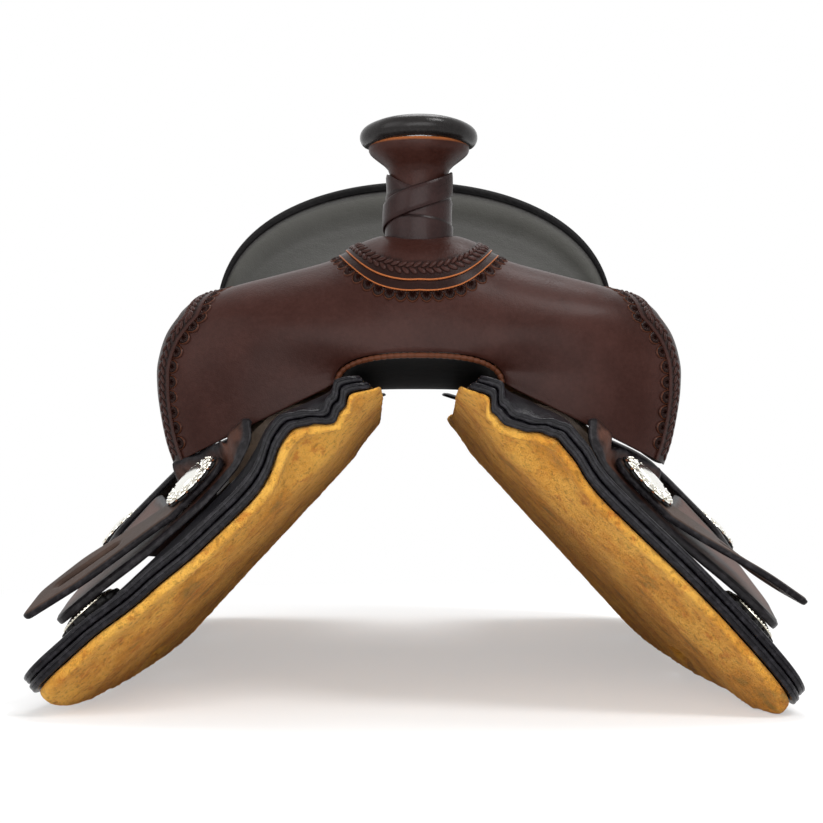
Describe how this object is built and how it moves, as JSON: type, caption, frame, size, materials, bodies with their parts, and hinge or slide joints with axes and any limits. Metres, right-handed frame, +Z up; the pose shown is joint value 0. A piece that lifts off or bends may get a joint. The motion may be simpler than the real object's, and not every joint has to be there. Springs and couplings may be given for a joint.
{
  "type": "western trail saddle",
  "caption": "Western trail saddle with horn, rounded swell fork, dished padded seat, fleece-lined skirts, jockeys, slotted latigo keepers and silver conchos.",
  "frame": {"origin": "centre of the saddle's bounding box at floor level, with the saddle standing on the lower edges of its skirts", "axes": "-Y towards the horse's head, +X the rider's left (near side), +Z up"},
  "size_m": [0.4847, 0.6729, 0.3901],
  "materials": {
    "skirt_leather": "oiled black leather, semi-gloss edges",
    "jockey_leather": "dark reddish brown leather with black edges",
    "keeper_leather": "grey-brown leather with black edges",
    "fork_leather": "smooth dark reddish brown leather, tooled borders",
    "liner_leather": "black lining leather, also over the strainer",
    "horn_leather": "polished near-black leather",
    "wrap_leather": "dark brown strip leather",
    "rosette_leather": "black leather, scalloped edge",
    "seat_leather": "charcoal black smooth padded leather",
    "ground_seat_leather": "natural russet leather",
    "fleece": "golden ochre wool fleece",
    "seat_foam": "grey foam sheet",
    "tree_wood": "pale wood under rawhide",
    "steel": "satin steel",
    "silver": "bright engraved silver plate"
  },
  "bodies": {
    "saddle": {"fleece_off": "fleece", "fleece_near": "fleece", "skirt_lower_off": "skirt_leather", "skirt_lower_near": "skirt_leather", "skirt_upper_off": "skirt_leather", "skirt_upper_near": "skirt_leather", "tree_bar_off": "tree_wood", "tree_bar_near": "tree_wood", "front_jockey_off": "jockey_leather", "front_jockey_near": "jockey_leather", "rear_jockey_off": "jockey_leather", "rear_jockey_near": "jockey_leather", "front_rosette_off": "rosette_leather", "front_rosette_near": "rosette_leather", "front_concho_off": "silver", "front_concho_near": "silver", "front_screw_off": "steel", "front_screw_near": "steel", "skirt_rosette_off": "rosette_leather", "skirt_rosette_near": "rosette_leather", "skirt_concho_off": "silver", "skirt_concho_near": "silver", "front_rigging_plate_off": "steel", "front_rigging_plate_near": "steel", "rear_rigging_plate_off": "steel", "rear_rigging_plate_near": "steel", "front_rivet_strip_off": "steel", "front_rivet_strip_near": "steel", "rear_rivet_strip_off": "steel", "rear_rivet_strip_near": "steel", "tree_fork": "tree_wood", "fork_cover": "fork_leather", "gullet_liner": "liner_leather", "gullet_binding": "fork_leather", "horn_core": "steel", "horn_cap_lower": "fork_leather", "horn_cap_upper": "horn_leather", "horn_wrap": "wrap_leather", "horn_wrap_strap": "wrap_leather", "seat_cover": "seat_leather", "seat_foam": "seat_foam", "ground_seat": "ground_seat_leather", "seat_strainer": "liner_leather", "tree_cantle": "tree_wood", "cantle_back": "fork_leather", "cantle_binding": "seat_leather"},
    "keeper_off": {"latigo_keeper_off": "keeper_leather"},
    "seat_flap_off": {"seat_jockey_off": "jockey_leather", "jockey_rosette_off": "rosette_leather", "jockey_concho_off": "silver", "jockey_screw_off": "steel"},
    "keeper_near": {"latigo_keeper_near": "keeper_leather"},
    "seat_flap_near": {"seat_jockey_near": "jockey_leather", "jockey_rosette_near": "rosette_leather", "jockey_concho_near": "silver", "jockey_screw_near": "steel"}
  },
  "joints": [
    {"name": "keeper_swing_off", "type": "hinge", "parent": "saddle", "child": "keeper_off", "pos_m": [-0.13727, -0.29042, 0.13801], "axis": [-0.6896, -0.2308, 0.6864], "range_deg": [-20, 20]},
    {"name": "seat_flap_lift_off", "type": "hinge", "parent": "saddle", "child": "seat_flap_off", "pos_m": [-0.11236, -0.16, 0.1722], "axis": [0.0036, 0.9997, -0.0255], "range_deg": [0, 35]},
    {"name": "keeper_swing_near", "type": "hinge", "parent": "saddle", "child": "keeper_near", "pos_m": [0.13727, -0.29042, 0.13801], "axis": [0.6896, -0.2308, 0.6864], "range_deg": [-20, 20]},
    {"name": "seat_flap_lift_near", "type": "hinge", "parent": "saddle", "child": "seat_flap_near", "pos_m": [0.11236, -0.16, 0.1722], "axis": [0.0036, -0.9997, 0.0255], "range_deg": [0, 35]}
  ]
}
